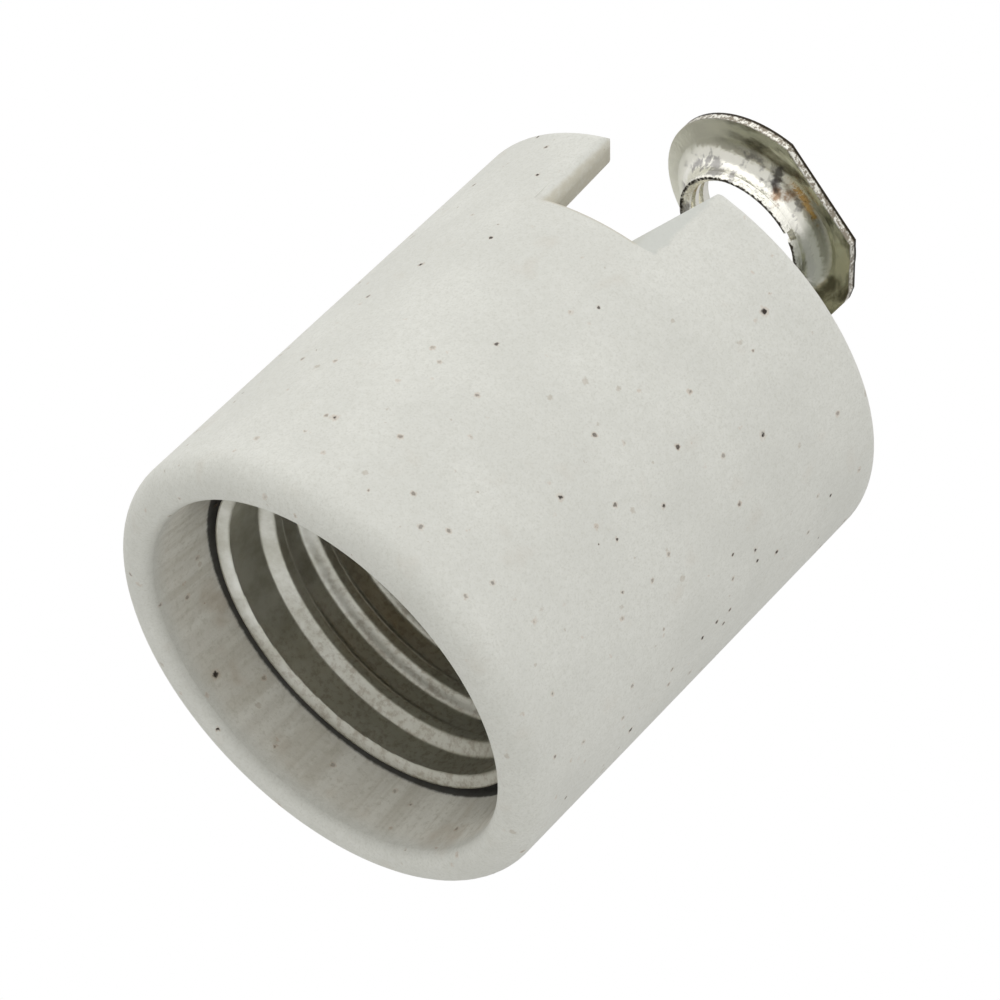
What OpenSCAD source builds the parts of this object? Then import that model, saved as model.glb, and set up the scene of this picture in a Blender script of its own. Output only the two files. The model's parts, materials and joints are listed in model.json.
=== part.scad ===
// Porcelain screw lampholder with a tapped mounting bracket, as used in a brooder heat lamp.
// The mouth rim lies in the plane z = 0 and the bracket is at the top.

/* [Porcelain body] */
// Outer diameter of the porcelain at the mouth
body_d = 37; // [36.9:0.1:38]
// Outer diameter at the rear rim, smaller by the mould's draft
rear_d = 36.3; // [35.5:0.1:36.5]
// Height of the porcelain from mouth rim to rear rim
body_h = 41.1; // [40:0.1:43]
// Outer rounding of the mouth rim
lip_r = 2.1; // [1:0.1:2.1]
// Inner rounding of the mouth rim
lip_in_r = 0.95; // [0.4:0.05:0.95]
// Diameter of the recess at the mouth
mouth_d = 30.8; // [30:0.1:30.8]
// Diameter of the recess where the screw shell starts
throat_d = 29.4; // [29:0.1:30]
// Depth from the mouth rim to the front rim of the screw shell
shell_inset = 6; // [4:0.1:8]
// Height of the partition's lamp-side face above the mouth rim
septum_z = 26; // [25:0.1:28]
// Thickness of the partition between lamp and wires
septum_t = 5; // [4:0.1:6]
// Diameter of the wiring cavity
cavity_d = 31.8; // [31.2:0.1:32.4]

/* [Wire notch] */
// Depth of the notch below the rear rim
notch_h = 8.15; // [6:0.05:9]
// Distance of the notch's left side from the middle, at its floor
notch_left = 5; // [4:0.1:5.5]
// How far the left side leans outwards towards the rear rim
notch_left_lean = 0.4; // [0:0.05:1]
// Distance of the notch's right side from the middle, at its floor
notch_right = 2.05; // [2:0.05:3]
// How far the right side leans outwards towards the rear rim
notch_right_lean = 2; // [1:0.05:2]
// Rounding of the notch's corners at the rear rim
notch_corner_r = 0.8; // [0.3:0.1:1.5]
// Distance from the middle to the outer edge of the worn bevel on the right side
bevel_x = 4.2; // [4.1:0.1:5]

/* [Screw shell] */
// Inner diameter over the thread crests
crest_d = 24.3; // [24.2:0.02:24.6]
// Inner diameter at the thread roots
root_d = 26.7; // [26.5:0.02:27]
// Thread pitch, seven turns to the inch
pitch = 3.63; // [3.6:0.01:3.66]
// Number of crests
crest_count = 5; // [3:1:6]
// Outer diameter of the flared front rim
shell_rim_d = 28.6; // [27.8:0.1:29]
// Sheet thickness of the shell
shell_t = 0.35; // [0.3:0.05:0.5]
// Opening in the shell's bottom ring
ring_d = 14; // [12:0.5:16]

/* [Bracket] */
// Sheet thickness of the bracket
plate_t = 0.75; // [0.7:0.05:1]
// Height of the head's top face above the mouth rim
head_z = 51.65; // [48:0.05:60]
// Offset of the collar from the body's axis, towards the notch
collar_offset = 4; // [0:0.5:5]
// Minor diameter of the collar's thread
collar_bore_d = 9.25; // [9.1:0.05:9.4]
// Major diameter of the collar's thread
collar_major_d = 10.1; // [9.8:0.05:10.3]
// Length of the collar below the head
collar_h = 2.35; // [2.2:0.05:4]
// Width of the leg
leg_w = 8; // [6:0.5:10]

/* [Fasteners] */
// Shank diameter of the wire screws
wire_screw_d = 3.4; // [3:0.1:4]
// Shank diameter of the shell screws
shell_screw_d = 2.9; // [2.5:0.1:3]
// Shank diameter of the bracket screw
bracket_screw_d = 3.9; // [3.5:0.1:4]

/* [Hidden] */
$fn = 96;
eps = 0.01;
body_r = body_d / 2;
rear_body_r = rear_d / 2;
mouth_r = mouth_d / 2;
throat_r = throat_d / 2;
cavity_r = cavity_d / 2;
rear_edge_r = 1;
notch_edge_r = 0.9;
cavity_edge_r = 0.4;
throat_z = shell_inset + 1;
floor_z = septum_z + septum_t;
notch_z = body_h - notch_h;
seat_r = root_d / 2 + shell_t + 0.5;

// Screw shell
disc_t = 0.4;
shell_bottom_z = septum_z - disc_t;
crest_r = crest_d / 2;
root_r = root_d / 2;
crest_land = 0.5;
first_crest_z = shell_inset + 2.3;
rim_flare_h = 0.5;
flank_w = 0.9;

// Contact strip, laid out along its own line from the rivet through the body's axis
rivet_pos = [2.6, -2.2];
strip_angle = atan2(-rivet_pos.y, -rivet_pos.x);
strip_w = 4.4;
strip_t = 0.5;
foot_back = 2;
foot_front = 1.6;
tongue_gap = 0.05;
tongue_len = 5;
tongue_slope = 24;
tip_r = 0.6;
rivet_d = 2.4;

// Terminals
terminal_t = 1.5;
terminal_x = 8.4;
terminal_y = -5;
shell_screw_pos = [9.2, 3];
tap_gap = 0.05;
shell_hole_r = shell_screw_d / 2 + 0.15;
bracket_hole_r = bracket_screw_d / 2 + 0.2;
shell_nut_h = 1.6;
washer_h = 0.6;
bracket_washer_h = 0.8;
clamp_t = 0.8;
clamp_side = 6.4;
clamp_rest_gap = 0.05;

// Bracket
bracket_screw_y = 6.2;
foot_end_y = 2.4;
leg_outer_y = 14.6;
head_r = 8.15;
head_c = [0.15, -0.75];
collar_rim_r = 5.2;
collar_fillet = 1.75;
rim_chamfer = 0.4;
hole_round = 0.6;
bend_r = 1.2;
thread_p = 0.94;
nut_side = 7;
nut_h = 2.2;
pocket_h = 2.9;

// ---------- helpers ----------

// Copies its children to both shell screws, or to one of them
module at_shell_screws(sides = [-1, 1]) {
    for (side = sides) translate([side * shell_screw_pos.x, shell_screw_pos.y, 0]) children();
}

// Puts its children on the wire screw's axis of one terminal
module at_wire_screw(side) {
    translate([side * terminal_x, terminal_y, 0]) children();
}

// Puts its children in the contact strip's own frame: origin at the rivet, x towards the body's axis
module in_strip_frame() {
    translate([rivet_pos.x, rivet_pos.y, septum_z]) rotate([0, 0, strip_angle]) children();
}

// Ring around the z axis between two heights
module ring(r_in, r_out, z0, z1) {
    translate([0, 0, z0]) difference() {
        cylinder(r = r_out, h = z1 - z0);
        translate([0, 0, -1]) cylinder(r = r_in, h = z1 - z0 + 2);
    }
}

// Rounded screw head with one slot, standing on z = 0
module slotted_head(r, h, slot_w, slot_h) {
    edge_r = h * 0.45;
    difference() {
        rotate_extrude() {
            square([r, h - edge_r]);
            square([r - edge_r, h]);
            translate([r - edge_r, h - edge_r]) circle(r = edge_r);
        }
        translate([-r - 1, -slot_w / 2, h - slot_h]) cube([2 * r + 2, slot_w, slot_h + 1]);
    }
}

// Split spring washer standing on z = 0
module lock_washer(r_in, r_out, h) {
    difference() {
        ring(r_in, r_out, 0, h);
        rotate([0, 0, 35]) translate([0, -0.4, -1]) cube([r_out + 1, 0.8, h + 2]);
    }
}

// ---------- porcelain ----------

module body_blank() {
    rotate_extrude() {
        polygon([
            [0, 0], [body_r - lip_r, 0], [body_r, lip_r], [rear_body_r, body_h - rear_edge_r],
            [rear_body_r - rear_edge_r, body_h], [0, body_h]
        ]);
        translate([body_r - lip_r, lip_r]) circle(r = lip_r);
        translate([rear_body_r - rear_edge_r, body_h - rear_edge_r]) circle(r = rear_edge_r);
    }
}

// Rounds the inner edge, of radius edge_r and rounding round_r, of an opening that faces down
module inner_edge_cut(edge_r, round_r) {
    rotate_extrude() difference() {
        translate([edge_r - 1, -1]) square([round_r + 1, round_r + 1]);
        translate([edge_r + round_r, round_r]) circle(r = round_r);
    }
}

module lamp_recess() {
    translate([0, 0, -eps]) cylinder(r1 = mouth_r, r2 = throat_r, h = throat_z + eps);
    translate([0, 0, throat_z - eps]) cylinder(r1 = throat_r, r2 = seat_r, h = 1);
    translate([0, 0, throat_z]) cylinder(r = seat_r, h = septum_z - throat_z);
}

// Rounds the corner between one side of the notch and the rear rim, seen from the front
module corner_flare(x, r, side) {
    translate([x, body_h - r]) mirror([side < 0 ? 1 : 0, 0]) difference() {
        translate([-eps, 0]) square([r + eps, r + 1]);
        translate([r, 0]) circle(r = r);
    }
}

// Opening of the notch seen from the front, in [x, z]
module notch_outline() {
    left_top = -notch_left - notch_left_lean;
    right_top = notch_right + notch_right_lean;
    flare_z = body_h - notch_corner_r;
    polygon([
        [-notch_left, notch_z], [left_top, flare_z], [left_top, body_h + 1],
        [right_top, body_h + 1], [right_top, flare_z], [notch_right, notch_z]
    ]);
    corner_flare(left_top, notch_corner_r, -1);
    corner_flare(right_top, notch_corner_r, 1);
}

// Shallow worn bevel between the notch's right side and the outer surface
module notch_bevel() {
    slope = 0.05;
    foot_r = 1;
    foot_z = notch_z + foot_r;
    back_x = notch_right - 0.6;
    edge_y = -sqrt(rear_body_r * rear_body_r - bevel_x * bevel_x);
    intersection() {
        linear_extrude(body_h + 1) polygon([
            [bevel_x, edge_y], [back_x, edge_y - slope * (bevel_x - back_x)],
            [back_x, -body_r - 1], [bevel_x, -body_r - 1]
        ]);
        rotate([90, 0, 0]) linear_extrude(body_r + 2) {
            translate([back_x, notch_z]) square([bevel_x - foot_r - back_x, notch_h + 1]);
            translate([back_x, foot_z]) square([bevel_x - back_x, body_h - foot_z + 1]);
            translate([bevel_x - foot_r, foot_z]) circle(r = foot_r);
        }
    }
}

// Rounds the upright outer edge on the notch's leaning left side
module notch_edge_cut() {
    lean_angle = atan(notch_left_lean / (notch_h - notch_corner_r));
    reach = rear_body_r - notch_edge_r;
    centre_y = -sqrt(reach * reach - (notch_left + notch_edge_r) * (notch_left + notch_edge_r));
    far = 1 + 1 / reach;
    translate([-notch_left, 0, notch_z]) rotate([0, -lean_angle, 0])
        linear_extrude(notch_h + 1) difference() {
            polygon([
                [-notch_edge_r, centre_y], [1, centre_y], [1, -rear_body_r - 1],
                [notch_left - far * (notch_left + notch_edge_r), far * centre_y]
            ]);
            translate([-notch_edge_r, centre_y]) circle(r = notch_edge_r);
        }
}

module wire_notch() {
    inside = 3;
    translate([0, -cavity_r + inside, 0]) rotate([90, 0, 0])
        linear_extrude(body_r - cavity_r + inside + 1) notch_outline();
    notch_bevel();
    notch_edge_cut();
}

module septum_holes() {
    through_z = septum_z - 1;
    through_h = septum_t + 2;
    blind_depth = 2.4;
    pocket_side = nut_side + 0.2;
    // Shell screws
    at_shell_screws() translate([0, 0, through_z]) cylinder(r = shell_hole_r, h = through_h);
    // Contact rivet
    translate([rivet_pos.x, rivet_pos.y, through_z]) cylinder(r = rivet_d / 2 + 0.1, h = through_h);
    // Blind clearance below each wire screw
    for (side = [-1, 1]) at_wire_screw(side)
        translate([0, 0, floor_z - blind_depth]) cylinder(r = wire_screw_d / 2 + 0.5, h = blind_depth + 1);
    // Bracket screw and its nut pocket
    translate([0, bracket_screw_y, through_z]) cylinder(r = bracket_hole_r, h = through_h);
    translate([-pocket_side / 2, bracket_screw_y - pocket_side / 2, through_z])
        cube([pocket_side, pocket_side, pocket_h + 1]);
}

module porcelain_body() {
    color("#dcdbd3") difference() {
        body_blank();
        inner_edge_cut(mouth_r - lip_in_r * (mouth_r - throat_r) / throat_z, lip_in_r);
        lamp_recess();
        translate([0, 0, floor_z]) cylinder(r = cavity_r, h = body_h);
        translate([0, 0, body_h]) mirror([0, 0, 1]) inner_edge_cut(cavity_r, cavity_edge_r);
        wire_notch();
        septum_holes();
    }
}

// ---------- screw shell ----------

// Inner outline of the shell from its front rim to its bottom, as [radius, height] points
function thread_points(shift) = [
    for (i = [0:crest_count - 1], k = [0:3])
        let(zc = first_crest_z + i * pitch, half = crest_land / 2)
        k == 0 ? [root_r + shift, zc - half - flank_w] :
        k == 1 ? [crest_r + shift, zc - half] :
        k == 2 ? [crest_r + shift, zc + half] :
        [root_r + shift, zc + half + flank_w]
];

function reversed(points) = [for (i = [len(points) - 1:-1:0]) points[i]];

module screw_shell() {
    rim_r = shell_rim_d / 2;
    flare_z = shell_inset + rim_flare_h;
    inner = concat([[rim_r - shell_t, shell_inset], [root_r, flare_z]], thread_points(0),
        [[root_r, shell_bottom_z - shell_t]]);
    outer = concat([[rim_r, shell_inset], [root_r + shell_t, flare_z + 0.1]], thread_points(shell_t),
        [[root_r + shell_t, shell_bottom_z]]);
    color("#a7a79f") difference() {
        union() {
            rotate_extrude() polygon(concat(inner, reversed(outer)));
            ring(ring_d / 2, root_r + shell_t / 2, shell_bottom_z - shell_t, shell_bottom_z);
        }
        at_shell_screws() translate([0, 0, shell_bottom_z - 2]) cylinder(r = shell_hole_r, h = 4);
    }
}

module insulating_disc() {
    window_gap = 0.4;
    window_end = 4.3;
    color("#6b5a44") difference() {
        translate([0, 0, shell_bottom_z]) cylinder(r = seat_r - 0.1, h = disc_t);
        at_shell_screws() translate([0, 0, shell_bottom_z - 1]) cylinder(r = shell_hole_r, h = disc_t + 2);
        // Window for the contact strip, long enough for the tongue to be pressed back into it
        in_strip_frame() translate([-foot_back - window_gap, -strip_w / 2 - window_gap, -2])
            cube([foot_back + window_gap + window_end, strip_w + 2 * window_gap, 4]);
    }
}

// Machine screw put in from the lamp side, on the given side of the body, up to the height end_z
module shell_screw(side, end_z) {
    head_z = shell_bottom_z - shell_t;
    color("#a7a79f") at_shell_screws([side]) translate([0, 0, head_z]) {
        mirror([0, 0, 1]) slotted_head(2.5, 1.4, 0.7, 0.7);
        cylinder(r = shell_screw_d / 2, h = end_z - head_z);
    }
}

module terminal_shell_screw() {
    shell_screw(-1, floor_z + terminal_t);
}

module nut_shell_screw() {
    shell_screw(1, floor_z + washer_h + shell_nut_h + 0.6);
}

module shell_lock_washer() {
    color("#9a9a94") at_shell_screws([1]) translate([0, 0, floor_z]) lock_washer(shell_hole_r, 2.6, washer_h);
}

module shell_nut() {
    across_flats = 5.5;
    color("#a7a79f") at_shell_screws([1]) translate([0, 0, floor_z + washer_h]) difference() {
        rotate([0, 0, 30]) cylinder(r = across_flats / 2 / cos(30), h = shell_nut_h, $fn = 6);
        translate([0, 0, -1]) cylinder(r = shell_screw_d / 2 + tap_gap, h = shell_nut_h + 2);
    }
}

// ---------- terminals ----------

module wire_screw(side, tint) {
    tip_z = floor_z - 1.9;
    head_z0 = floor_z + terminal_t + clamp_rest_gap + clamp_t + clamp_rest_gap;
    color(tint) at_wire_screw(side) {
        translate([0, 0, head_z0]) slotted_head(3.1, 2, 0.9, 1);
        translate([0, 0, tip_z]) cylinder(r = wire_screw_d / 2, h = head_z0 - tip_z + eps);
    }
}

module clamp_plate(side, tint) {
    z0 = floor_z + terminal_t + clamp_rest_gap;
    groove_x = 2.5;
    color(tint) at_wire_screw(side) translate([0, 0, z0]) difference() {
        translate([-clamp_side / 2, -clamp_side / 2, 0]) cube([clamp_side, clamp_side, clamp_t]);
        translate([0, 0, -1]) cylinder(r = wire_screw_d / 2 + 0.08, h = clamp_t + 2);
        // Two grooves on the underside that grip the wire
        for (x = [-groove_x, groove_x]) translate([x, 0, 0]) rotate([90, 0, 0])
            cylinder(r = 0.35, h = clamp_side + 2, center = true);
    }
}

module neutral_terminal() {
    color("#a7a79f") translate([0, 0, floor_z]) difference() {
        linear_extrude(terminal_t) intersection() {
            circle(r = cavity_r - 0.4);
            polygon([[-13, -9], [-4.8, -9], [-4.8, -0.8], [-6.2, 0.8], [-6.2, 6.2], [-13, 6.2]]);
        }
        at_wire_screw(-1) translate([0, 0, -1]) cylinder(r = wire_screw_d / 2 + tap_gap, h = terminal_t + 2);
        at_shell_screws([-1]) translate([0, 0, -1])
            cylinder(r = shell_screw_d / 2 + tap_gap, h = terminal_t + 2);
    }
}

module live_terminal() {
    color("#b08d4a") translate([0, 0, floor_z]) difference() {
        linear_extrude(terminal_t) intersection() {
            circle(r = cavity_r - 0.4);
            polygon([[0.4, -4.6], [4.8, -9], [13, -9], [13, -1.2], [5.2, -1.2], [4, 0], [0.4, 0]]);
        }
        at_wire_screw(1) translate([0, 0, -1]) cylinder(r = wire_screw_d / 2 + tap_gap, h = terminal_t + 2);
        translate([rivet_pos.x, rivet_pos.y, -1]) cylinder(r = rivet_d / 2 + tap_gap, h = terminal_t + 2);
    }
}

module neutral_wire_screw() {
    wire_screw(-1, "#a7a79f");
}

module neutral_clamp_plate() {
    clamp_plate(-1, "#a7a79f");
}

module live_wire_screw() {
    wire_screw(1, "#b08d4a");
}

module live_clamp_plate() {
    clamp_plate(1, "#b08d4a");
}

// ---------- centre contact ----------

module contact_foot() {
    color("#b08d4a") in_strip_frame() difference() {
        translate([-foot_back, -strip_w / 2, -strip_t]) cube([foot_back + foot_front, strip_w, strip_t]);
        translate([0, 0, -2]) cylinder(r = rivet_d / 2 + tap_gap, h = 4);
    }
}

// Side view of the tongue from its bend, with its end rolled back on itself
module tongue_profile() {
    circle(r = strip_t / 2);
    translate([0, -strip_t / 2]) square([tongue_len, strip_t]);
    translate([tongue_len, tip_r - strip_t / 2]) difference() {
        circle(r = tip_r);
        circle(r = tip_r - strip_t + 0.1);
        translate([-2 * tip_r, 0]) square([2 * tip_r, 2 * tip_r]);
    }
}

module contact_tongue() {
    bend_x = foot_front + tongue_gap + strip_t / 2;
    bend_z = -strip_t / 2 - tongue_gap;
    color("#b08d4a") in_strip_frame() translate([bend_x, 0, bend_z]) rotate([0, tongue_slope, 0])
        rotate([90, 0, 0]) translate([0, 0, -strip_w / 2]) linear_extrude(strip_w) tongue_profile();
}

module contact_rivet() {
    shank_r = rivet_d / 2;
    z_head = septum_z - strip_t;
    z_end = floor_z + terminal_t;
    color("#b08d4a") translate([rivet_pos.x, rivet_pos.y, 0]) {
        translate([0, 0, z_head]) cylinder(r = shank_r, h = z_end - z_head);
        translate([0, 0, z_head - 0.7]) cylinder(r1 = 1.5, r2 = 1.8, h = 0.7);
        translate([0, 0, z_end]) cylinder(r1 = 1.8, r2 = 1.4, h = 0.6);
    }
}

// ---------- bracket ----------

// Outline of the head around the collar's axis: a disc with one sheared corner and one straight side,
// narrowing to the width of the leg
module head_outline() {
    side_x = 8.25;
    leg_x = leg_w / 2;
    reach = leg_outer_y + collar_offset - bend_r - plate_t;
    shear_d = 7.03;
    shear_angle = -42.6;
    difference() {
        union() {
            translate(head_c) circle(r = head_r);
            polygon([
                [0, -2.6], [side_x, -2.6], [side_x, 2.6], [7.9, 3.9], [6.4, 6.6], [leg_x, 9.6],
                [leg_x, reach], [-leg_x, reach], [-leg_x, 8], [-6.4, 4.3]
            ]);
        }
        // Sheared corner
        translate(head_c) rotate([0, 0, shear_angle]) translate([shear_d, -head_r])
            square([head_r, 2 * head_r]);
    }
}

// Side view of the strap from the head through the leg to the foot, in [y, z]
module strap_profile() {
    out_r = bend_r + plate_t;
    top_c = [leg_outer_y - out_r, head_z - out_r];
    foot_c = [leg_outer_y - out_r, floor_z + out_r];
    // Upper and lower bends
    translate(top_c) intersection() {
        difference() {
            circle(r = out_r);
            circle(r = bend_r);
        }
        square(out_r);
    }
    translate(foot_c) intersection() {
        difference() {
            circle(r = out_r);
            circle(r = bend_r);
        }
        translate([0, -out_r]) square(out_r);
    }
    translate([leg_outer_y - plate_t, foot_c.y]) square([plate_t, top_c.y - foot_c.y]);
    translate([foot_end_y, floor_z]) square([foot_c.x - foot_end_y, plate_t]);
}

// Section of the collar wall with its thread, in [radius, height] from the head's top face downwards
module collar_section() {
    crest = collar_bore_d / 2;
    root = collar_major_d / 2;
    bottom = -plate_t - collar_h;
    wall_r = collar_rim_r + 0.15;
    flare_r = wall_r + collar_fillet;
    turns = floor((collar_h + plate_t - hole_round - rim_chamfer) / thread_p);
    difference() {
        polygon([
            [crest + rim_chamfer, bottom], [collar_rim_r, bottom], [wall_r, -plate_t - collar_fillet],
            [flare_r, -plate_t - collar_fillet], [flare_r, 0], [crest, 0], [crest, bottom + rim_chamfer]
        ]);
        // Hollow fillet between the wall and the underside of the head
        translate([flare_r, -plate_t - collar_fillet]) circle(r = collar_fillet);
        // Thread grooves
        for (i = [0:turns - 1]) translate([crest, bottom + rim_chamfer + i * thread_p])
            polygon([[-0.1, 0.15 * thread_p], [root - crest, thread_p / 2], [-0.1, 0.85 * thread_p]]);
        // Rounded entry at the top of the hole
        difference() {
            translate([crest - 0.1, -hole_round]) square([hole_round + 0.1, hole_round + 0.1]);
            translate([crest + hole_round, -hole_round]) circle(r = hole_round);
        }
    }
}

module bracket() {
    bore_r = collar_bore_d / 2;
    split_angle = -31;
    split_w = 0.8;
    split_h = 0.6;
    color("#b3b1a4") difference() {
        union() {
            translate([0, -collar_offset, head_z - plate_t]) difference() {
                linear_extrude(plate_t) head_outline();
                translate([0, 0, -1]) cylinder(r = bore_r + 1, h = plate_t + 2);
            }
            translate([0, -collar_offset, head_z]) rotate_extrude() collar_section();
            translate([-leg_w / 2, 0, 0]) rotate([90, 0, 90]) linear_extrude(leg_w) strap_profile();
        }
        translate([0, bracket_screw_y, floor_z - 1]) cylinder(r = bracket_hole_r, h = plate_t + 2);
        // Small gap where the collar's rim split as it was drawn
        translate([0, -collar_offset, head_z - plate_t - collar_h - eps]) rotate([0, 0, split_angle])
            translate([bore_r - 0.5, -split_w / 2, 0]) cube([2, split_w, split_h]);
    }
}

module bracket_lock_washer() {
    color("#9a9a94") translate([0, bracket_screw_y, floor_z + plate_t])
        lock_washer(bracket_hole_r, 3.3, bracket_washer_h);
}

module bracket_screw() {
    head_bottom_z = floor_z + plate_t + bracket_washer_h;
    tip_z = septum_z + 0.3;
    color("#a7a79f") translate([0, bracket_screw_y, 0]) {
        translate([0, 0, head_bottom_z]) slotted_head(3.4, 2.2, 1, 1.1);
        translate([0, 0, tip_z]) cylinder(r = bracket_screw_d / 2, h = head_bottom_z - tip_z + eps);
    }
}

module bracket_nut() {
    color("#a7a79f") translate([0, bracket_screw_y, septum_z + pocket_h - nut_h]) difference() {
        translate([-nut_side / 2, -nut_side / 2, 0]) cube([nut_side, nut_side, nut_h]);
        translate([0, 0, -1]) cylinder(r = bracket_screw_d / 2 + tap_gap, h = nut_h + 2);
    }
}

porcelain_body();
screw_shell();
insulating_disc();
terminal_shell_screw();
nut_shell_screw();
shell_nut();
shell_lock_washer();
neutral_terminal();
neutral_wire_screw();
neutral_clamp_plate();
contact_foot();
contact_tongue();
contact_rivet();
live_terminal();
live_wire_screw();
live_clamp_plate();
bracket();
bracket_screw();
bracket_lock_washer();
bracket_nut();
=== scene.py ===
import json
import math

import bmesh
import bpy
from mathutils import Matrix, Vector
from mathutils.geometry import delaunay_2d_cdt


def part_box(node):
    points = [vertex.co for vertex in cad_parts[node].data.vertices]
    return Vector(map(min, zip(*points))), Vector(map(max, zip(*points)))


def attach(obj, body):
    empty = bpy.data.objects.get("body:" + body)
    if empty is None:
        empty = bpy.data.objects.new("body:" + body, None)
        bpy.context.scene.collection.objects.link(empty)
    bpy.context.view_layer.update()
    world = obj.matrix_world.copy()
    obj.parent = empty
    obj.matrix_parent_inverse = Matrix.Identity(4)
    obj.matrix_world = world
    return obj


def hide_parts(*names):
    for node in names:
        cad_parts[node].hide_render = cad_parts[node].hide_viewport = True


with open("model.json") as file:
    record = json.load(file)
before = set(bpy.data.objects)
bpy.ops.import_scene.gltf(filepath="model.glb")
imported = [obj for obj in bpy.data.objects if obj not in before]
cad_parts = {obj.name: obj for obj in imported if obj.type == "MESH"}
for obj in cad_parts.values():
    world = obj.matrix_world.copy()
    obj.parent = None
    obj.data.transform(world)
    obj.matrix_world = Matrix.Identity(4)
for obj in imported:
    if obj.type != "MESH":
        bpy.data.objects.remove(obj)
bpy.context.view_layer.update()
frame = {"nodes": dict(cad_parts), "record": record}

# Lengths are in millimetres until they reach Blender, whose unit is the metre.
MM = 0.001


def box_mm(node):
    """The lowest and highest corner of a CAD node, in millimetres."""
    low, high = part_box(node)
    return low / MM, high / MM


def mount(name):
    """The record's mount of that name."""
    return next(m for m in frame["record"]["mounts"] if m["name"] == name)


# ---------- sizes: some read from the imported part and its record, the rest given ---

# Porcelain: radius where the lip gives way to the mouth's wall, the wall's mean radius and where it ends,
# and how far the body's sharp edges are rounded
LIP_R = 15.9
WALL_R = 14.8
WALL_END_Z = 8
BODY_ROUNDING = 0.3

# Wire notch: its floor, middle and half width, the wall's inner side, and the outer edge of the worn bevel
NOTCH_Z = 32.95
NOTCH_X = -1.5
NOTCH_HALF = 3.95
NOTCH_Y = -14
BEVEL_X = 4.2

# Bracket: top of its head, the collar's place, rim, outer radius and fillet, and two burnt spots on it
HEAD_Z = box_mm("bracket")[1].z
COLLAR_Y = mount("bracket_thread")["pos_m"][1] / MM
COLLAR_RIM_Z = HEAD_Z - 3.1
COLLAR_R = 6.3
FILLET_R = 6.9
BURNT_SPOT = (3.0, -9.4, 49.7)
SCORCH_SPOT = (2.1, -9.9, 50.2)

# Screw shell
SHELL_LOW, SHELL_HIGH = box_mm("screw_shell")
RIM_R = SHELL_HIGH.x
RIM_Z = SHELL_LOW.z
SHELL_END_Z = SHELL_HIGH.z
SHEET_T = 0.35
FLARE_H = 0.5
RING_HOLE_R = 7
RING_SCREW_R = 1.6
RING_ROUNDING = 0.08
SHELL_SCREWS = [(side * 9.2, 3) for side in (-1, 1)]
# Side of the shell that is darkened with painted shade and mottled brown
SHADED_SIDE_ANGLE = math.radians(70)

# Rolled thread: a crest passes through the height CREST_Z at CREST_ANGLE round the axis
PITCH = 3.63
THREAD_DEPTH = 0.95
CREST_R = mount("lamp_thread")["dims"]["r_mm"]
ROOT_R = CREST_R + THREAD_DEPTH
CREST_ANGLE = math.radians(119)
CREST_Z = RIM_Z + 4.15
CREST_W = 0.5
FLANK_W = 1.0
PER_TURN = 160

# Stage
FLOOR_R = 3000
FLOOR_Z = -420


# ---------- shader helpers ----------

def srgb(red, green, blue):
    """A colour given as 0 to 255 display values, as linear RGBA."""
    def linear(value):
        share = value / 255
        return share / 12.92 if share <= 0.04045 else ((share + 0.055) / 1.055) ** 2.4
    return (linear(red), linear(green), linear(blue), 1)


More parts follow.
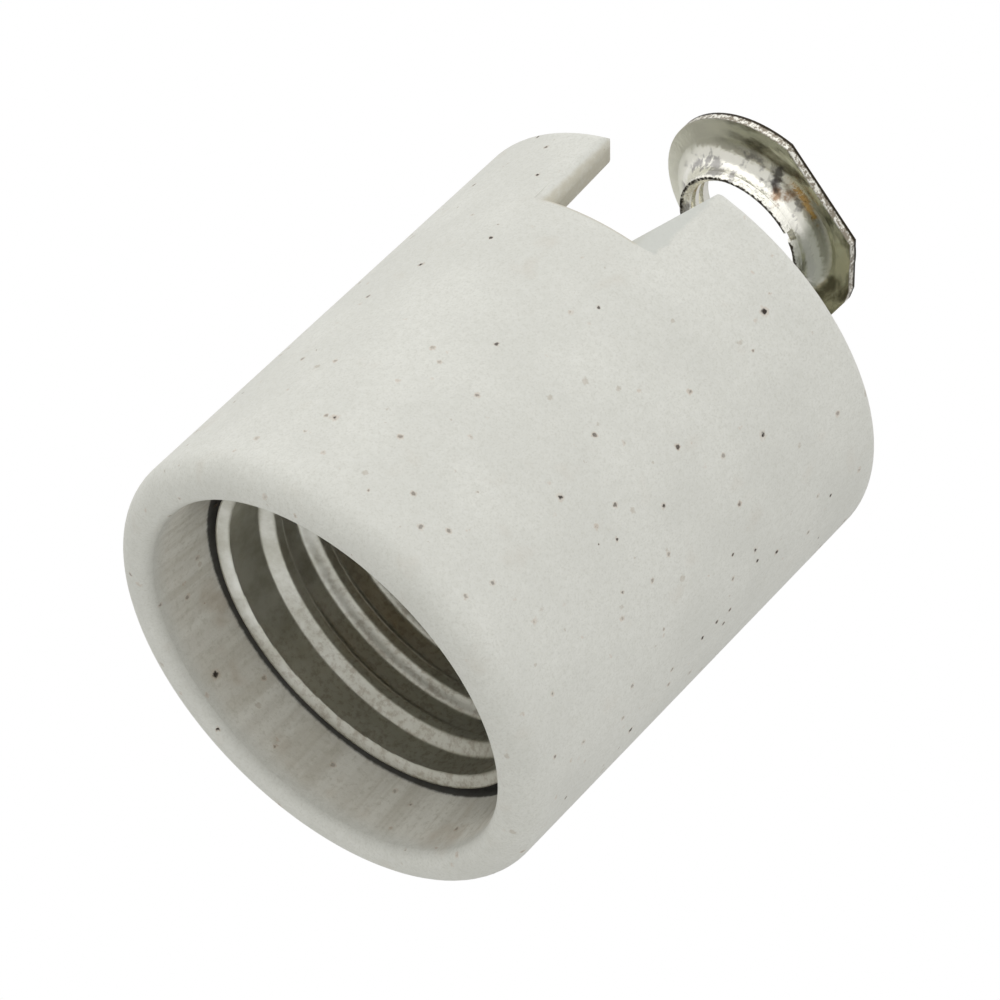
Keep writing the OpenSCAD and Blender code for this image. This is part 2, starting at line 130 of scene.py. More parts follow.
class Shader:
    """One material, with short calls that add and join its nodes."""

    def __init__(self, name):
        self.material = bpy.data.materials.new(name)
        self.material.use_nodes = True
        self.tree = self.material.node_tree
        self.tree.nodes.clear()
        self.surface = self.node("ShaderNodeBsdfPrincipled")
        output = self.node("ShaderNodeOutputMaterial")
        self.tree.links.new(self.surface.outputs[0], output.inputs["Surface"])

    def node(self, kind, inputs=None, **settings):
        made = self.tree.nodes.new(kind)
        for key, value in settings.items():
            setattr(made, key, value)
        for key, value in (inputs or {}).items():
            self.feed(made.inputs[key], value)
        return made

    def feed(self, socket, value):
        if isinstance(value, bpy.types.NodeSocket):
            self.tree.links.new(value, socket)
        else:
            socket.default_value = value

    def set(self, **inputs):
        """Feeds the surface's inputs; an underscore in a name stands for a space."""
        for key, value in inputs.items():
            self.feed(self.surface.inputs[key.replace("_", " ")], value)

    def math(self, operation, *values, clamp=False):
        made = self.node("ShaderNodeMath", operation=operation, use_clamp=clamp)
        for i, value in enumerate(values):
            self.feed(made.inputs[i], value)
        return made.outputs[0]

    def vector(self, operation, *values):
        made = self.node("ShaderNodeVectorMath", operation=operation)
        for i, value in enumerate(values):
            self.feed(made.inputs[i], value)
        return made.outputs["Value"] if operation in ("LENGTH", "DOT_PRODUCT") else made.outputs[0]

    def place(self):
        """Position on the object, in millimetres of the row frame."""
        place = self.node("ShaderNodeTexCoord").outputs["Object"]
        return self.vector("MULTIPLY", place, (1 / MM,) * 3)

    def split(self, vector):
        return self.node("ShaderNodeSeparateXYZ", {0: vector}).outputs

    def join(self, x, y, z):
        return self.node("ShaderNodeCombineXYZ", {0: x, 1: y, 2: z}).outputs[0]

    def noise(self, vector, size, detail=3, roughness=0.5, seed=0):
        """Noise from 0 to 1 whose features are about size millimetres wide."""
        moved = self.vector("ADD", vector, (seed * 17.3, seed * 5.1, seed * 9.7))
        return self.node("ShaderNodeTexNoise", {
            "Vector": moved, "Scale": 1 / size, "Detail": detail, "Roughness": roughness,
        }).outputs["Fac"]

    def step(self, value, low, high, out_low=0, out_high=1):
        """Smooth step of value from low to high, mapped to out_low and out_high."""
        return self.node("ShaderNodeMapRange", {
            "Value": value, "From Min": low, "From Max": high, "To Min": out_low, "To Max": out_high,
        }, interpolation_type="SMOOTHSTEP").outputs[0]

    def mix(self, factor, a, b):
        made = self.node("ShaderNodeMix", data_type="RGBA")
        self.feed(made.inputs["Factor"], factor)
        self.feed(made.inputs[6], a)
        self.feed(made.inputs[7], b)
        return made.outputs[2]

    def specks(self, vector, spacing, radius, seed=0):
        """Mask of ragged spots of random size up to that radius, with one seed per spacing each way."""
        moved = self.vector("ADD", vector, (seed * 3.7, seed * 7.9, seed * 1.3))
        wobble = self.node("ShaderNodeTexNoise", {"Vector": moved, "Scale": 5.0, "Detail": 3.0})
        centred = self.vector("SUBTRACT", wobble.outputs["Color"], (0.5,) * 3)
        shift = self.vector("MULTIPLY", centred, (1.2 * radius,) * 3)
        cells = self.node("ShaderNodeTexVoronoi", {
            "Vector": self.vector("ADD", moved, shift), "Scale": 1 / spacing,
        }).outputs
        own_radius = self.math("MULTIPLY", self.step(self.split(cells["Color"])[0], 0, 1, 0.3, 1), radius)
        distance = self.math("MULTIPLY", cells["Distance"], spacing)
        return self.step(self.math("DIVIDE", distance, own_radius), 1, 0.6)

    def bump(self, height, depth, normal=None):
        """Bump whose height of 1 stands for depth millimetres."""
        made = self.node("ShaderNodeBump", {"Height": height, "Strength": 1.0, "Distance": depth * MM})
        if normal is not None:
            self.feed(made.inputs["Normal"], normal)
        return made.outputs[0]


# ---------- materials ----------

def make_porcelain():
    """Unglazed porcelain: cloudy off-white with iron specks, and soft bands along the mouth's wall."""
    s = Shader("porcelain_bisque")
    place = s.place()
    clouds = s.noise(place, 7, detail=4)
    grain = s.noise(place, 0.45, detail=3, roughness=0.7, seed=1)
    stains = s.noise(place, 3.2, detail=2, seed=2)
    pores = s.noise(place, 0.17, detail=2, roughness=0.6, seed=7)
    colour = s.mix(s.step(clouds, 0.35, 0.65), srgb(227, 227, 220), srgb(221, 221, 214))
    colour = s.mix(s.step(grain, 0.3, 0.7, 0, 0.35), colour, srgb(208, 208, 199))
    colour = s.mix(s.step(pores, 0.45, 0.75, 0, 0.45), colour, srgb(200, 199, 189))
    # Warm stains, faint and wide
    colour = s.mix(s.step(stains, 0.6, 0.8, 0, 0.22), colour, srgb(205, 195, 180))
    in_mouth, bands, wall = mouth_wall(s, place, grain, stains)
    # The mouth's wall colour, darkened with painted shade inside the mouth
    colour = s.mix(in_mouth, colour, wall)
    colour = notch_faces(s, place, grain, colour)
    dark, colour = iron_specks(s, place, clouds, stains, colour)
    ripple = s.bump(s.noise(place, 0.9, detail=4, roughness=0.6, seed=5), 0.05)
    drawn = s.bump(s.math("MULTIPLY", bands, in_mouth), 0.03, ripple)
    pitted = s.bump(s.math("SUBTRACT", 1, dark), 0.05, drawn)
    rough = s.step(grain, 0.2, 0.8, 0.62, 0.78)
    s.set(Base_Color=colour, Roughness=rough, Normal=pitted, Specular_IOR_Level=0.35)
    return s.material


def mouth_wall(s, place, grain, stains):
    """Mask, bands and colour of the mouth's wall: darker than the outside with painted shade, and banded
    where the mould was drawn out.
    """
    x, y, z = s.split(place)
    radius = s.vector("LENGTH", s.join(x, y, 0))
    depth_mask = s.math("MULTIPLY", s.step(z, 0.5, 2.2), s.step(z, WALL_END_Z, WALL_END_Z - 0.6))
    in_mouth = s.math("MULTIPLY", s.step(radius, LIP_R, LIP_R - 0.8), depth_mask)
    # Noise squeezed round the axis and stretched along it
    direction = s.vector("NORMALIZE", s.join(x, y, 0))
    around = s.vector("MULTIPLY", direction, (WALL_R,) * 3)
    along = s.vector("ADD", around, s.join(0, 0, s.math("MULTIPLY", z, 0.05)))
    bands = s.noise(along, 1.5, detail=3, roughness=0.6, seed=4)
    lines = s.noise(along, 0.8, detail=3, seed=3)
    wall = s.mix(s.step(bands, 0.35, 0.65), srgb(222, 219, 209), srgb(234, 232, 223))
    # These darker tones stand in partly for the shade inside the mouth (painted shade)
    wall = s.mix(s.step(lines, 0.45, 0.7, 0, 0.4), wall, srgb(194, 188, 172))
    wall = s.mix(s.step(grain, 0.45, 0.75, 0, 0.5), wall, srgb(190, 186, 170))
    wall = s.mix(s.step(stains, 0.55, 0.75, 0, 0.5), wall, srgb(190, 176, 156))
    # Painted shade, brown-tinted, deep in the mouth where the wall meets the shell, fading out on the side
    # towards the thread's crest angle
    crest_side = s.vector("DOT_PRODUCT", direction, (math.cos(CREST_ANGLE), math.sin(CREST_ANGLE), 0))
    deep_shade = s.math("MULTIPLY", s.step(crest_side, 0.6, -0.3), s.step(s.math("ADD", z, bands), 2.5, 6.2))
    wall = s.mix(s.math("MULTIPLY", deep_shade, 0.95), wall, srgb(88, 82, 62))
    # Painted shade in the gap behind the shell's rim
    rim_gap_shade = s.step(s.math("ADD", z, s.math("MULTIPLY", grain, 0.2)), RIM_Z + 0.05, RIM_Z + 0.3)
    wall = s.mix(s.math("MULTIPLY", rim_gap_shade, 0.9), wall, srgb(44, 43, 40))
    return in_mouth, bands, wall


def notch_faces(s, place, grain, colour):
    """The colour with beige cut faces in the notch, and a greyer ragged patch on the bevel at its right
    side.
    """
    x, y, z = s.split(place)
    from_middle = s.math("ABSOLUTE", s.math("SUBTRACT", x, NOTCH_X))
    notch_x = s.step(from_middle, NOTCH_HALF + 0.4, NOTCH_HALF)
    notch_yz = s.math("MULTIPLY", s.step(y, NOTCH_Y, NOTCH_Y - 1), s.step(z, NOTCH_Z - 0.2, NOTCH_Z))
    notch = s.math("MULTIPLY", notch_x, notch_yz)
    colour = s.mix(s.math("MULTIPLY", notch, s.step(grain, 0.2, 0.6, 0.55, 1)), colour, srgb(205, 201, 186))
    ragged = s.math("ADD", x, s.noise(place, 1.3, detail=5, roughness=0.65, seed=6))
    patch_x = s.math("MULTIPLY", s.step(ragged, 1.7, 2.1), s.step(ragged, BEVEL_X + 0.7, BEVEL_X + 0.2))
    patch_yz = s.math("MULTIPLY", s.step(y, NOTCH_Y - 1, NOTCH_Y - 2), s.step(z, NOTCH_Z, NOTCH_Z + 0.3))
    patch = s.math("MULTIPLY", patch_x, patch_yz)
    return s.mix(s.math("MULTIPLY", patch, 0.75), colour, srgb(204, 206, 200))


def iron_specks(s, place, clouds, stains, colour):
    """Mask of the dark specks, and the colour with them, their rusty halos and faint specks in it."""
    large_spacing = 3.9
    small_spacing = 1.75
    x, _, z = s.split(place)
    # Small ones are darker towards the rear
    rear = s.step(s.math("ADD", s.math("MULTIPLY", x, 0.6), z), 4, 30, 0.45, 1)
    strength = s.math("MULTIPLY", rear, s.step(clouds, 0.38, 0.6, 0.4, 1))
    large = s.specks(place, large_spacing, 0.28, seed=1)
    small = s.specks(place, small_spacing, 0.2, seed=2)
    large_halo = s.specks(place, large_spacing, 0.48, seed=1)
    small_halo = s.specks(place, small_spacing, 0.32, seed=2)
    halo = s.math("MAXIMUM", large_halo, small_halo)
    faint = s.specks(place, 2.6, 0.34, seed=3)
    colour = s.mix(s.math("MULTIPLY", faint, 0.3), colour, srgb(158, 136, 108))
    colour = s.mix(s.math("MULTIPLY", s.math("MULTIPLY", halo, stains), 0.5), colour, srgb(186, 150, 116))
    dark = s.math("MAXIMUM", large, s.math("MULTIPLY", small, strength))
    return dark, s.mix(s.math("MULTIPLY", dark, 0.97), colour, srgb(40, 29, 21))


def make_metal(name, base, dull, rough_low, rough_high, wave=0.02, brushed=0.006, cloud_size=3.0):
    """Plated metal: clouded tint, uneven polish, a slight waviness and fine lines round the axis."""
    s = Shader(name)
    place = s.place()
    x, y, z = s.split(place)
    radius = s.vector("LENGTH", s.join(x, y, 0))
    clouds = s.noise(place, cloud_size, detail=4, roughness=0.6)
    spots = s.noise(place, 0.35, detail=2, seed=1)
    colour = s.mix(s.step(clouds, 0.35, 0.7), base, dull)
    colour = s.mix(s.step(spots, 0.5, 0.8, 0, 0.35), colour, dull)
    around = s.join(s.math("MULTIPLY", radius, 8), s.math("MULTIPLY", z, 8), s.math("MULTIPLY", x, 0.15))
    lines = s.noise(around, 1.0, detail=3, seed=2)
    worn = s.step(clouds, 0.3, 0.7, rough_low, rough_high)
    rough = s.math("ADD", worn, s.step(lines, 0.3, 0.7, -0.04, 0.05))
    waves = s.bump(s.noise(place, 1.6, detail=2, seed=3), wave)
    fine = s.bump(lines, brushed, waves)
    s.set(Base_Color=colour, Roughness=rough, Normal=fine, Metallic=1.0)
    return s.material


def make_shell_metal():
    """Nickel of the screw shell: bright on one side, darker with painted shade and mottled brown on the
    other.
    """
    s = Shader("shell_nickel")
    place = s.place()
    x, y, z = s.split(place)
    direction = s.vector("NORMALIZE", s.join(x, y, 0))
    clouds = s.noise(place, 2.6, detail=5, roughness=0.65)
    mottle = s.noise(place, 0.5, detail=4, roughness=0.7, seed=1)
    # From 0 on the bright side to 1 on the side with painted shade and brown mottle
    side = s.vector("DOT_PRODUCT", direction, (math.cos(SHADED_SIDE_ANGLE), math.sin(SHADED_SIDE_ANGLE), 0))
    worn = s.step(s.math("ADD", side, s.math("MULTIPLY", clouds, 0.6)), 0.2, 1.1)
    colour = s.mix(s.step(clouds, 0.35, 0.7), srgb(238, 238, 231), srgb(212, 211, 200))
    # Painted shade on that side
    colour = s.mix(s.math("MULTIPLY", worn, 0.75), colour, srgb(184, 182, 170))
    stained = s.math("MULTIPLY", worn, s.step(mottle, 0.45, 0.65))
    colour = s.mix(s.math("MULTIPLY", stained, 0.5), colour, srgb(150, 138, 122))
    radius = s.vector("LENGTH", s.join(x, y, 0))
    around = s.join(s.math("MULTIPLY", radius, 6), s.math("MULTIPLY", z, 6), x)
    lines = s.noise(around, 1.0, detail=3, seed=2)
    rough = s.math("ADD", s.step(mottle, 0.3, 0.7, 0.26, 0.4), s.math("MULTIPLY", lines, 0.06))
    waves = s.bump(s.noise(place, 1.6, detail=2, seed=3), 0.012)
    s.set(Base_Color=colour, Roughness=rough, Normal=s.bump(mottle, 0.006, waves), Metallic=1.0)
    return s.material


def make_fibre():
    """Vulcanised fibre: dark brown with a felted grain."""
    s = Shader("vulcanised_fibre")
    place = s.place()
    grain = s.noise(place, 0.25, detail=5, roughness=0.7)
    colour = s.mix(s.step(grain, 0.3, 0.7), srgb(120, 108, 92), srgb(160, 146, 124))
    s.set(Base_Color=colour, Roughness=0.85, Normal=s.bump(grain, 0.03))
    return s.material


def make_bracket_metal():
    """Bright stamped nickel plate: torn dark rim, rolled cut edge with a painted dark reflection, an
    underside with painted shade and painted light, and a stained collar with painted shade on its right
    side.
    """
    s = Shader("bracket_nickel")
    place = s.place()
    x, y, z = s.split(place)
    from_collar = s.join(x, s.math("SUBTRACT", y, COLLAR_Y), 0)
    radius = s.vector("LENGTH", from_collar)
    # 1 on level faces and 0 on upright ones
    level = s.math("ABSOLUTE", s.split(s.node("ShaderNodeNewGeometry").outputs["Normal"])[2])
    clouds = s.noise(place, 2.2, detail=4, roughness=0.6)
    fine = s.noise(place, 0.3, detail=3, roughness=0.65, seed=1)
    patches = s.noise(place, 1.0, detail=3, roughness=0.6, seed=2)
    colour = s.mix(s.step(clouds, 0.35, 0.7), srgb(246, 245, 233), srgb(222, 219, 202))
    colour = s.mix(s.step(fine, 0.55, 0.85, 0, 0.4), colour, srgb(160, 156, 138))
    # The head's underside round the collar gets painted shade and painted light
    below = s.math("MULTIPLY", s.step(radius, COLLAR_R, FILLET_R), s.step(level, 0.75, 0.95))
    below = s.math("MULTIPLY", below, s.step(z, HEAD_Z - 0.3, HEAD_Z - 0.5))
    underside_light_and_shade = painted_underside_shading(s, x, from_collar, radius, patches)
    colour = s.mix(s.math("MULTIPLY", below, 0.9), colour, underside_light_and_shade)
    collar = s.math("MULTIPLY", s.step(radius, FILLET_R, COLLAR_R), s.step(z, HEAD_Z - 0.2, HEAD_Z - 0.6))
    colour = collar_stains(s, place, collar, clouds, patches, colour)
    # Cut edge of the head: broken bright grain
    on_head = s.math("MULTIPLY", s.step(radius, FILLET_R, 7.3), s.step(z, HEAD_Z - 1.1, HEAD_Z - 0.9))
    edge = s.math("MULTIPLY", on_head, s.step(level, 0.6, 0.3))
    cut = s.mix(s.step(fine, 0.42, 0.56), srgb(240, 238, 228), srgb(150, 142, 128))
    colour = s.mix(edge, colour, cut)
    dark = painted_reflection_and_torn_rim(s, z, radius, edge, fine)
    colour = s.mix(dark, colour, srgb(58, 52, 42))
    broken = s.math("MULTIPLY", s.math("MAXIMUM", dark, edge), 0.25)
    rough = s.math("ADD", s.step(clouds, 0.3, 0.7, 0.14, 0.26), broken)
    waves = s.bump(s.math("MULTIPLY", patches, s.step(radius, 7.2, COLLAR_R, 0.2, 1)), 0.06)
    pits = s.bump(fine, 0.006, waves)
    near_rim = s.math("MULTIPLY", collar, s.step(z, COLLAR_RIM_Z + 0.7, COLLAR_RIM_Z + 0.2))
    beads = s.bump(s.math("MULTIPLY", near_rim, fine), 0.07, pits)
    s.set(Base_Color=colour, Roughness=rough, Normal=beads, Metallic=1.0)
    return s.material


def painted_underside_shading(s, x, from_collar, radius, patches):
    """Painted shade and light on the underside: dark olive streaks of painted shade round the collar, and
    painted light making the left lobe pale.
    """
    direction = s.vector("MULTIPLY", s.vector("NORMALIZE", from_collar), (4,) * 3)
    ringed = s.vector("ADD", direction, s.join(0, 0, s.math("MULTIPLY", radius, 1.3)))
    streaks = s.noise(ringed, 1.6, detail=4, roughness=0.55, seed=6)
    underside_light_and_shade = s.mix(s.step(streaks, 0.38, 0.62), srgb(92, 88, 64), srgb(218, 219, 196))
    lobe = s.step(s.math("ADD", x, s.math("MULTIPLY", patches, 2)), 0.5, -3.5)
    return s.mix(s.math("MULTIPLY", lobe, 0.85), underside_light_and_shade, srgb(248, 247, 236))


def collar_stains(s, place, collar, clouds, patches, colour):
    """The colour with a cream collar that has grey-violet clouds, painted shade on its right side and burnt
    spots.
    """
    x, _, _ = s.split(place)
    centred = s.math("SUBTRACT", patches, 0.5)
    tint = s.mix(s.step(clouds, 0.55, 0.62), srgb(255, 253, 244), srgb(150, 148, 152))
    colour = s.mix(s.math("MULTIPLY", collar, 0.7), colour, tint)
    # Painted shade: the collar's right side darkened
    dull = s.math("MULTIPLY", collar, s.step(s.math("ADD", x, patches), 4.8, 5.9, 0, 0.8))
    colour = s.mix(dull, colour, srgb(138, 141, 126))
    burnt = s.vector("LENGTH", s.vector("SUBTRACT", place, BURNT_SPOT))
    burnt = s.math("ADD", burnt, s.math("MULTIPLY", centred, 3))
    colour = s.mix(s.step(burnt, 1.2, 0.5, 0, 0.85), colour, srgb(150, 112, 74))
    colour = s.mix(s.step(burnt, 0.5, 0.2, 0, 0.7), colour, srgb(240, 208, 168))
    scorch = s.vector("LENGTH", s.vector("SUBTRACT", place, SCORCH_SPOT))
    scorch = s.math("ADD", scorch, s.math("MULTIPLY", centred, 4))
    return s.mix(s.step(scorch, 1.1, 0.3, 0, 0.85), colour, srgb(64, 60, 60))


def painted_reflection_and_torn_rim(s, z, radius, edge, fine):
    """Mask of the dark lines: painted dark reflections where the head's faces roll over into its edge, and
    the collar's torn rim.
    """
    # Painted reflection: dark bands where the head's edge rolls over, and at its burr below
    rolled = s.step(s.math("ADD", z, s.math("MULTIPLY", fine, 0.16)), HEAD_Z - 0.2, HEAD_Z - 0.1)
    burr = s.step(s.math("ADD", z, s.math("MULTIPLY", fine, 0.3)), HEAD_Z - 0.48, HEAD_Z - 0.6)
    edge_dark_reflection = s.math("MULTIPLY", edge, s.math("MAXIMUM", rolled, s.math("MULTIPLY", burr, 0.6)))
    uneven_z = s.math("SUBTRACT", z, s.math("MULTIPLY", fine, 0.5))
    torn = s.step(uneven_z, COLLAR_RIM_Z - 0.16, COLLAR_RIM_Z - 0.26)
    return s.math("MAXIMUM", edge_dark_reflection, s.math("MULTIPLY", torn, s.step(radius, 6, 5.6)))


MATERIALS = {
    "porcelain": make_porcelain(),
    "shell_metal": make_shell_metal(),
    "bracket_metal": make_bracket_metal(),
    "screw_steel": make_metal("screw_nickel", srgb(206, 206, 202), srgb(160, 158, 152), 0.22, 0.36),
    "spring_steel": make_metal("washer_zinc", srgb(182, 182, 180), srgb(140, 140, 138), 0.34, 0.5),
    "nickel_plate": make_metal("terminal_nickel", srgb(208, 205, 194), srgb(168, 162, 146), 0.24, 0.38),
    "brass": make_metal("bare_brass", srgb(214, 178, 104), srgb(164, 122, 66), 0.22, 0.38),
    "fibre": make_fibre(),
}


# ---------- mesh helpers ----------

def finish_piece(name, bm, body, slot, stands_for=()):
    """Makes a smooth-shaded piece of the mesh, which is in millimetres, and puts it on its body."""
    bmesh.ops.recalc_face_normals(bm, faces=bm.faces)
    bm.transform(Matrix.Scale(MM, 4))
    mesh = bpy.data.meshes.new(name)
    bm.to_mesh(mesh)
    bm.free()
    mesh.shade_smooth()
    piece = bpy.data.objects.new(name, mesh)
    bpy.context.scene.collection.objects.link(piece)
    mesh.materials.append(MATERIALS[slot])
    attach(piece, body)
    if stands_for:
        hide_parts(*stands_for)
    return piece


def circle(cx, cy, radius, count):
    """That many points of a circle in the plane."""
    turns = [2 * math.pi * i / count for i in range(count)]
    return [Vector((cx + radius * math.cos(t), cy + radius * math.sin(t))) for t in turns]


def flat_faces(bm, outline, holes, z):
    """Fills the region inside the outline and outside the holes with triangles at the height z."""
    points, edges = [], []
    for loop in [outline, *holes]:
        start = len(points)
        points.extend(loop)
        edges.extend((start + i, start + (i + 1) % len(loop)) for i in range(len(loop)))
    verts, _, faces, *_ = delaunay_2d_cdt(points, edges, [], 0, 1e-6)
    made = [bm.verts.new((v.x, v.y, z)) for v in verts]
    for face in faces:
        centre = sum((verts[i] for i in face), Vector((0, 0))) / len(face)
        if inside(centre, outline) and not any(inside(centre, hole) for hole in holes):
            bm.faces.new([made[i] for i in face])
    for v in made:
        if not v.link_faces:
            bm.verts.remove(v)


def wall_faces(bm, loop, low, high):
    """Joins a loop at two heights with a band of faces."""
    rows = [[bm.verts.new((p.x, p.y, z)) for p in loop] for z in (low, high)]
    for i in range(len(loop)):
        j = (i + 1) % len(loop)
        bm.faces.new((rows[0][i], rows[0][j], rows[1][j], rows[1][i]))


def soften(piece, width):
    """Rounds the sharp edges by that many millimetres."""
    bevel = piece.modifiers.new("soft_edges", "BEVEL")
    bevel.width = width * MM
    bevel.segments = 3
    bevel.limit_method = "ANGLE"
    bevel.angle_limit = math.radians(35)
    bevel.harden_normals = True


def inside(point, loop):
    """Whether a point lies inside a closed loop."""
    crossings = 0
    for a, b in zip(loop, [*loop[1:], loop[0]]):
        if (a.y > point.y) != (b.y > point.y):
            crossings += point.x < a.x + (point.y - a.y) / (b.y - a.y) * (b.x - a.x)
    return crossings % 2 == 1


# ---------- screw shell ----------

def clamp(value):
    """The value, held between 0 and 1."""
    return min(1, max(0, value))


def smooth(share):
    """Smooth step of a share from 0 to 1."""
    return share * share * (3 - 2 * share)


def thread_section(steps):
    """(height along the axis, share of the depth) from one root through the crest to the next root."""
    heights = [PITCH * i / steps for i in range(steps)]
    return [(h, smooth(clamp(1 - (abs(h - PITCH / 2) - CREST_W / 2) / FLANK_W))) for h in heights]


def thread_columns(wall_top):
    """Columns of (x, y, z) along the helix, each from root to root, with a thread that fades at its ends."""
    section = thread_section(steps=36)
    turns_before = 1.9
    turns_after = 0.6
    start_angle, full_angle = math.radians(-110), math.radians(0)
    fade_z = wall_top - 1.6
    fade_h = 1.5
    first = CREST_ANGLE - 2 * math.pi * turns_before
    turns = (wall_top - CREST_Z) / PITCH + turns_before + turns_after
    columns = []
    for i in range(int(turns * PER_TURN)):
        angle = first + 2 * math.pi * i / PER_TURN
        crest_z = CREST_Z + PITCH * (angle - CREST_ANGLE) / (2 * math.pi)
        share_in = clamp((angle - start_angle) / (full_angle - start_angle))
        share = share_in * clamp((fade_z - crest_z) / fade_h + 1)
        column = []
        for height, depth in section:
            radius = ROOT_R - THREAD_DEPTH * depth * smooth(share)
            column.append((radius * math.cos(angle), radius * math.sin(angle), crest_z - PITCH / 2 + height))
        columns.append(column)
    return columns


def build_shell():
    """Thin sheet with a helical rolled thread, cut level at both ends."""
    rim_overlap = 0.04
    wall_top = SHELL_END_Z - SHEET_T
    bm = bmesh.new()
    columns = [[bm.verts.new(point) for point in column] for column in thread_columns(wall_top)]
    for i, (column, beside) in enumerate(zip(columns, columns[1:])):
        for j in range(len(column) - 1):
            bm.faces.new((column[j], beside[j], beside[j + 1], column[j + 1]))
        # The strip's rear edge meets the next turn's front edge
        if i + 1 + PER_TURN < len(columns):
            above, beside_above = columns[i + PER_TURN], columns[i + 1 + PER_TURN]
            bm.faces.new((column[-1], beside[-1], beside_above[0], above[0]))
    for height, keep_above in ((RIM_Z + FLARE_H - rim_overlap, True), (wall_top, False)):
        bmesh.ops.bisect_plane(
            bm, geom=bm.verts[:] + bm.edges[:] + bm.faces[:], plane_co=(0, 0, height), plane_no=(0, 0, 1),
            clear_inner=keep_above, clear_outer=not keep_above,
        )
    bmesh.ops.remove_doubles(bm, verts=bm.verts, dist=0.02)
    thicken(finish_piece("screw_shell_rolled", bm, "holder", "shell_metal", ["screw_shell"]))


def build_shell_rim():
    """Flared front rim of the shell, turned round the axis."""
    steps = 12
    flare_power = 1.7
    bm = bmesh.new()
    rows = []
    for i in range(steps + 1):
        share = i / steps
        radius = ROOT_R + (RIM_R - SHEET_T - ROOT_R) * (1 - share) ** flare_power
        loop = circle(0, 0, radius, count=PER_TURN)
        rows.append([bm.verts.new((p.x, p.y, RIM_Z + FLARE_H * share)) for p in loop])
    for row, next_row in zip(rows, rows[1:]):
        for i in range(PER_TURN):
            j = (i + 1) % PER_TURN
            bm.faces.new((row[i], row[j], next_row[j], next_row[i]))
    thicken(finish_piece("screw_shell_rim", bm, "holder", "shell_metal"))


def thicken(piece):
    """Gives a sheet its thickness, towards the outside."""
    sheet = piece.modifiers.new("sheet", "SOLIDIFY")
    sheet.thickness = SHEET_T * MM
    sheet.offset = 1


def build_shell_ring():
    """Flat ring at the shell's rear end, with the lamp's opening and two screw holes."""
    bm = bmesh.new()
    outline = circle(0, 0, ROOT_R + SHEET_T, count=96)
    lamp_hole = circle(0, 0, RING_HOLE_R, count=64)
    holes = [lamp_hole] + [circle(x, y, RING_SCREW_R, count=32) for x, y in SHELL_SCREWS]
    for z in (SHELL_END_Z - SHEET_T, SHELL_END_Z):
        flat_faces(bm, outline, holes, z)
    for loop in (outline, *holes):
        wall_faces(bm, loop, SHELL_END_Z - SHEET_T, SHELL_END_Z)
    bmesh.ops.remove_doubles(bm, verts=bm.verts, dist=1e-4)
    ring = finish_piece("screw_shell_ring", bm, "holder", "shell_metal")
    soften(ring, RING_ROUNDING)


# ---------- camera, stage and light ----------

VIEW_AZIMUTH = math.radians(29.0)
VIEW_ELEVATION = math.radians(-31.17)
VIEW_ROLL = math.radians(45.79)
VIEW_DISTANCE = 515
VIEW_TARGET = Vector((-1.38, 1.96, 22.32))
LENS = 261.56


def view_axes():
    """The camera's right, up and backward directions in the row frame."""
    back = Vector((
        math.sin(VIEW_AZIMUTH) * math.cos(VIEW_ELEVATION),
        -math.cos(VIEW_AZIMUTH) * math.cos(VIEW_ELEVATION),
        math.sin(VIEW_ELEVATION),
    ))
    level_right = Vector((math.cos(VIEW_AZIMUTH), math.sin(VIEW_AZIMUTH), 0))
    level_up = back.cross(level_right)
    right = level_right * math.cos(VIEW_ROLL) + level_up * math.sin(VIEW_ROLL)
    return right, back.cross(right), back


def make_camera():
    """Camera at the photograph's viewing angle."""
    right, up, back = view_axes()
    data = bpy.data.cameras.new("camera")
    data.lens = LENS
    data.sensor_width = 36
    data.clip_end = 20
    camera = bpy.data.objects.new("camera", data)
    camera.matrix_world = Matrix((right, up, back)).transposed().to_4x4()
    camera.location = (VIEW_TARGET + back * VIEW_DISTANCE) * MM
    bpy.context.scene.collection.objects.link(camera)
    bpy.context.scene.camera = camera


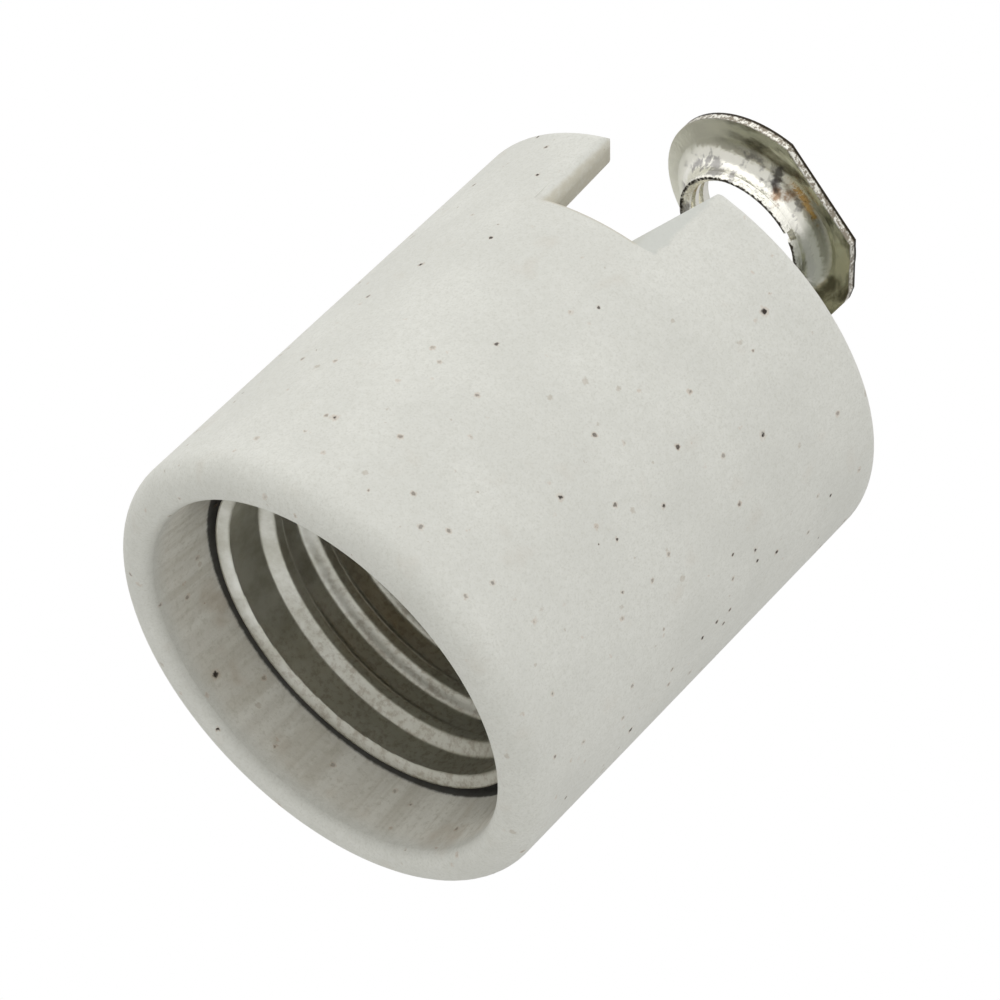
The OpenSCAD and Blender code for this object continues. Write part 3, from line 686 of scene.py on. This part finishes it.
def make_floor():
    """Pale floor, low enough for the view from below the part."""
    s = Shader("floor_pale")
    place = s.place()
    colour = s.mix(s.step(s.noise(place, 90, detail=3), 0.3, 0.7), srgb(236, 236, 234), srgb(228, 228, 226))
    s.set(Base_Color=colour, Roughness=0.9)
    bm = bmesh.new()
    bmesh.ops.create_circle(bm, cap_ends=True, segments=96, radius=FLOOR_R * MM)
    mesh = bpy.data.meshes.new("floor")
    bm.to_mesh(mesh)
    bm.free()
    mesh.materials.append(s.material)
    floor = bpy.data.objects.new("floor", mesh)
    floor.location.z = FLOOR_Z * MM
    bpy.context.scene.collection.objects.link(floor)


def make_world():
    """White behind the part; the light it gives is brighter on the key side."""
    world = bpy.data.worlds.new("studio")
    bpy.context.scene.world = world
    world.use_nodes = True
    tree = world.node_tree
    tree.nodes.clear()
    right, up, back = view_axes()
    towards_key = tree.nodes.new("ShaderNodeVectorMath")
    towards_key.operation = "DOT_PRODUCT"
    direction = tree.nodes.new("ShaderNodeTexCoord").outputs["Generated"]
    tree.links.new(direction, towards_key.inputs[0])
    towards_key.inputs[1].default_value = (up * 0.5 - right * 0.5 + back * 0.7).normalized()
    ramp = tree.nodes.new("ShaderNodeMapRange")
    ramp.interpolation_type = "SMOOTHSTEP"
    for name, value in {"From Min": -0.9, "From Max": 0.9, "To Min": 0.6, "To Max": 1.28}.items():
        ramp.inputs[name].default_value = value
    tree.links.new(towards_key.outputs["Value"], ramp.inputs["Value"])
    light = tree.nodes.new("ShaderNodeBackground")
    seen = tree.nodes.new("ShaderNodeBackground")
    for background in (light, seen):
        background.inputs["Color"].default_value = (1, 1, 1, 1)
    tree.links.new(ramp.outputs[0], light.inputs["Strength"])
    path = tree.nodes.new("ShaderNodeLightPath")
    mix = tree.nodes.new("ShaderNodeMixShader")
    output = tree.nodes.new("ShaderNodeOutputWorld")
    tree.links.new(path.outputs["Is Camera Ray"], mix.inputs[0])
    tree.links.new(light.outputs[0], mix.inputs[1])
    tree.links.new(seen.outputs[0], mix.inputs[2])
    tree.links.new(mix.outputs[0], output.inputs["Surface"])


make_camera()
make_floor()
make_world()
bpy.context.scene.view_settings.view_transform = "Standard"

for row in frame["record"]["subparts"]:
    cad = frame["nodes"][row["node"]]
    cad.data.materials.clear()
    cad.data.materials.append(MATERIALS[row["material_slot"]])
soften(frame["nodes"]["porcelain_body"], BODY_ROUNDING)

build_shell()
build_shell_rim()
build_shell_ring()
